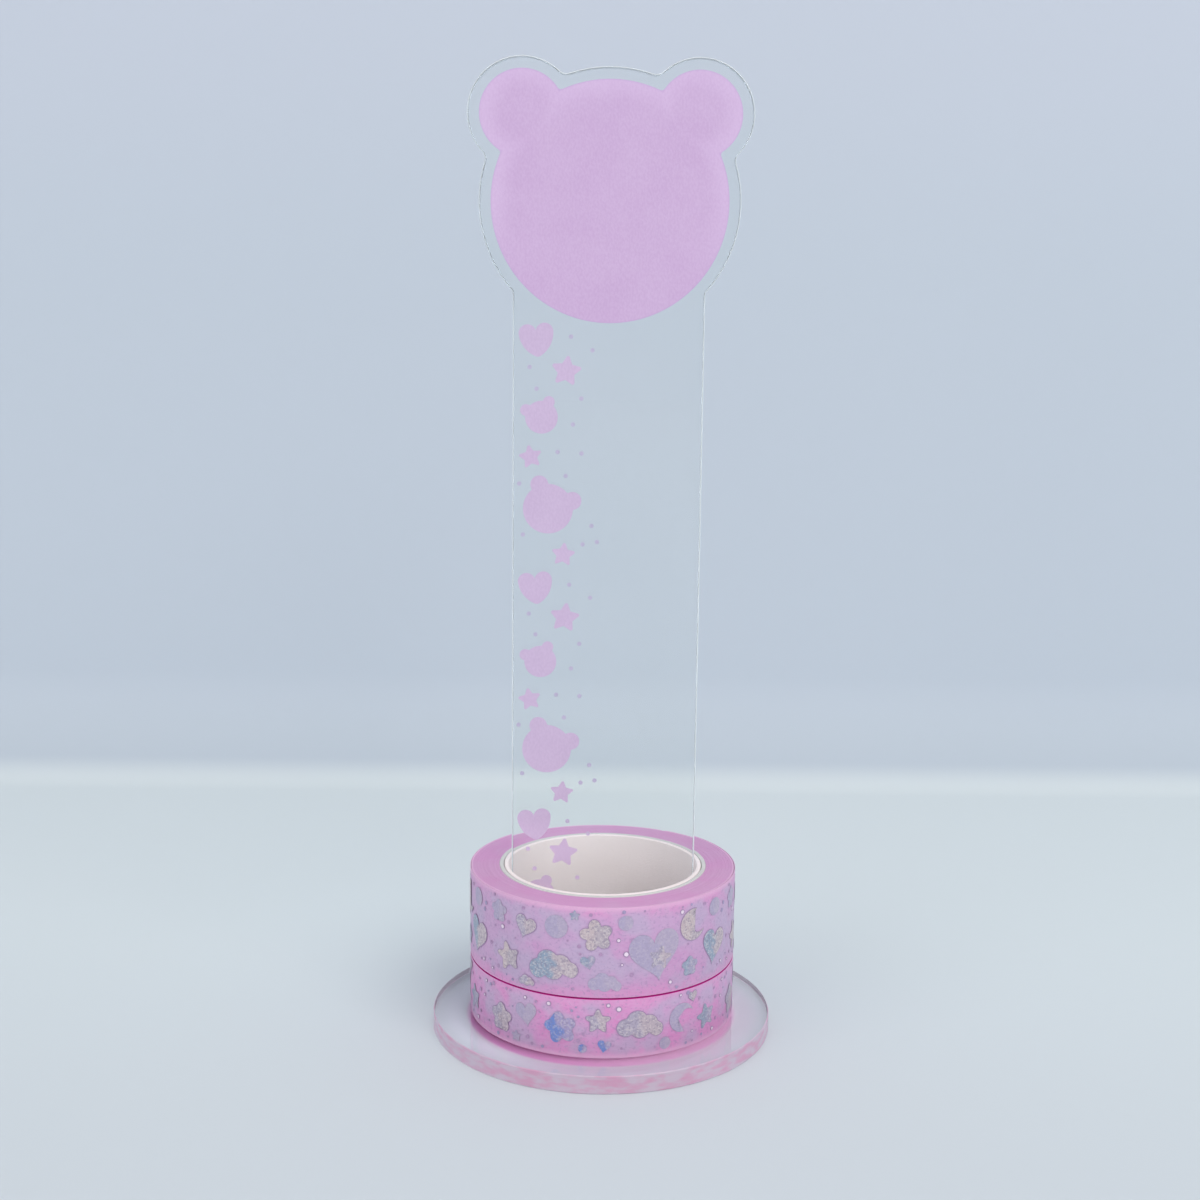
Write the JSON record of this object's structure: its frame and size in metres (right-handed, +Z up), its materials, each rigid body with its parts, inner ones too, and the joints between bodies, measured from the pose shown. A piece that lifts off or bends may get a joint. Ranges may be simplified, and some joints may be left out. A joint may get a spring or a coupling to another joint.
{
  "type": "washi tape stand",
  "caption": "Clear desktop stand for decorative tape: a bear-head panel stands in a slot in a round base, with rolls of printed tape threaded on its column.",
  "frame": {"origin": "centre of the base disc's underside", "axes": "+Z up along the panel, -Y out of the printed side, +X to the right seen from the printed side"},
  "size_m": [0.0564, 0.0564, 0.1573],
  "materials": {
    "clear_acrylic": "polished",
    "pink_ink": "matte",
    "core_board": "matte",
    "core_liner": "matte",
    "tape_edge": "matte",
    "printed_tape": "satin"
  },
  "bodies": {
    "base": {"base_disc": "clear_acrylic"},
    "upright": {"upright_panel": "clear_acrylic", "head_print": "pink_ink", "heart_prints": "pink_ink", "star_prints": "pink_ink", "bear_prints": "pink_ink", "dot_prints": "pink_ink"},
    "narrow_roll": {"narrow_roll_core_board": "core_board", "narrow_roll_core_liner": "core_liner", "narrow_roll_tape_winding": "tape_edge", "narrow_roll_outer_turn": "printed_tape"},
    "wide_roll": {"wide_roll_core_board": "core_board", "wide_roll_core_liner": "core_liner", "wide_roll_tape_winding": "tape_edge", "wide_roll_outer_turn": "printed_tape"}
  },
  "joints": [
    {"name": "panel_lift", "type": "slide", "parent": "base", "child": "upright", "axis": [0, 0, 1], "range_m": [0, 0.045]},
    {"name": "narrow_roll_spin", "type": "hinge", "parent": "base", "child": "narrow_roll", "pos_m": [0, 0, 0.008], "axis": [0, 0, 1], "continuous": true},
    {"name": "wide_roll_spin", "type": "hinge", "parent": "base", "child": "wide_roll", "pos_m": [0, 0, 0.0205], "axis": [0, 0, 1], "continuous": true}
  ]
}
